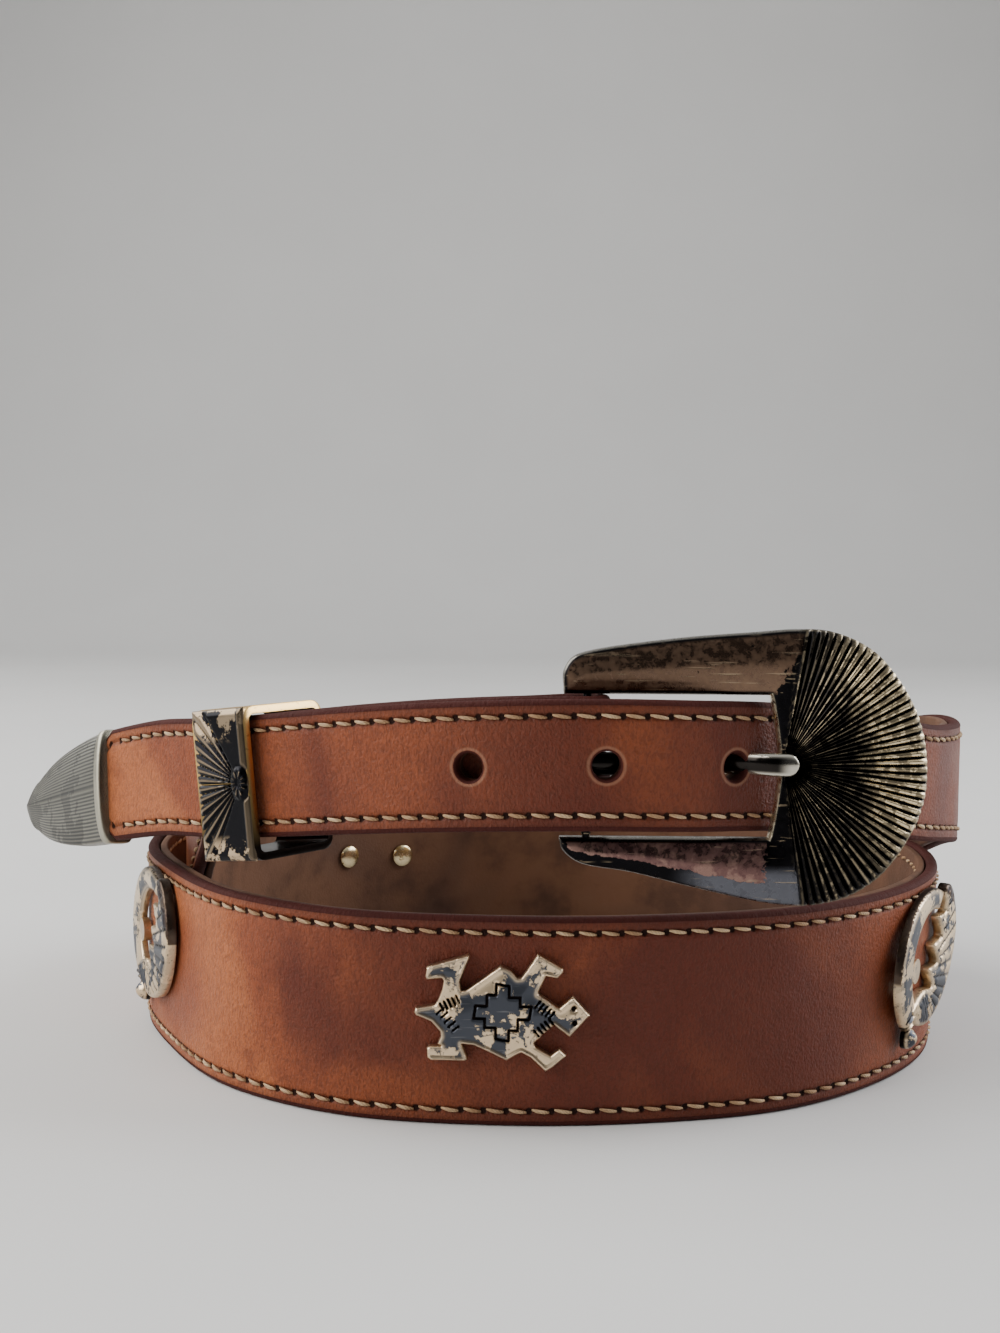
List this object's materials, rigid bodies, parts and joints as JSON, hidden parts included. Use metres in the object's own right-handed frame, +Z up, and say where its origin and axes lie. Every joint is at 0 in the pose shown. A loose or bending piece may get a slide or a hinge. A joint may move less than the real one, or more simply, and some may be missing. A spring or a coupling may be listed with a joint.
{
  "type": "concho belt",
  "caption": "Western leather belt, buckled and coiled in two turns on its lower edge, with cast buckle, keeper, tip and metal ornaments.",
  "frame": {"origin": "centre of the bounding box at the surface that the coiled belt stands on", "axes": "+Z up, -Y towards the viewer who sees the turtle and the buckle, +X to that viewer's right"},
  "size_m": [0.2124, 0.192, 0.0945],
  "materials": {
    "leather": "tan-brown full grain, burnished edges",
    "lining": "undyed flesh side",
    "dark_metal": "blackened and worn, gilt high spots",
    "tongue_metal": "polished",
    "concho_metal": "worn gilt with slate patches",
    "tip_metal": "dull pewter",
    "cap_metal": "bright"
  },
  "bodies": {
    "root": {"strap": "leather", "lining": "lining", "buckle_frame": "dark_metal", "buckle_tongue": "tongue_metal", "keeper": "dark_metal", "strap_tip": "tip_metal", "concho_1": "concho_metal", "rivet_cap_1a": "cap_metal", "rivet_cap_1b": "cap_metal", "concho_2": "concho_metal", "rivet_cap_2a": "cap_metal", "rivet_cap_2b": "cap_metal", "concho_3": "concho_metal", "rivet_cap_3a": "cap_metal", "rivet_cap_3b": "cap_metal", "concho_4": "concho_metal", "rivet_cap_4a": "cap_metal", "rivet_cap_4b": "cap_metal", "concho_5": "concho_metal", "rivet_cap_5a": "cap_metal", "rivet_cap_5b": "cap_metal", "concho_6": "concho_metal", "rivet_cap_6a": "cap_metal", "rivet_cap_6b": "cap_metal", "concho_7": "concho_metal", "rivet_cap_7a": "cap_metal", "rivet_cap_7b": "cap_metal"}
  },
  "joints": []
}
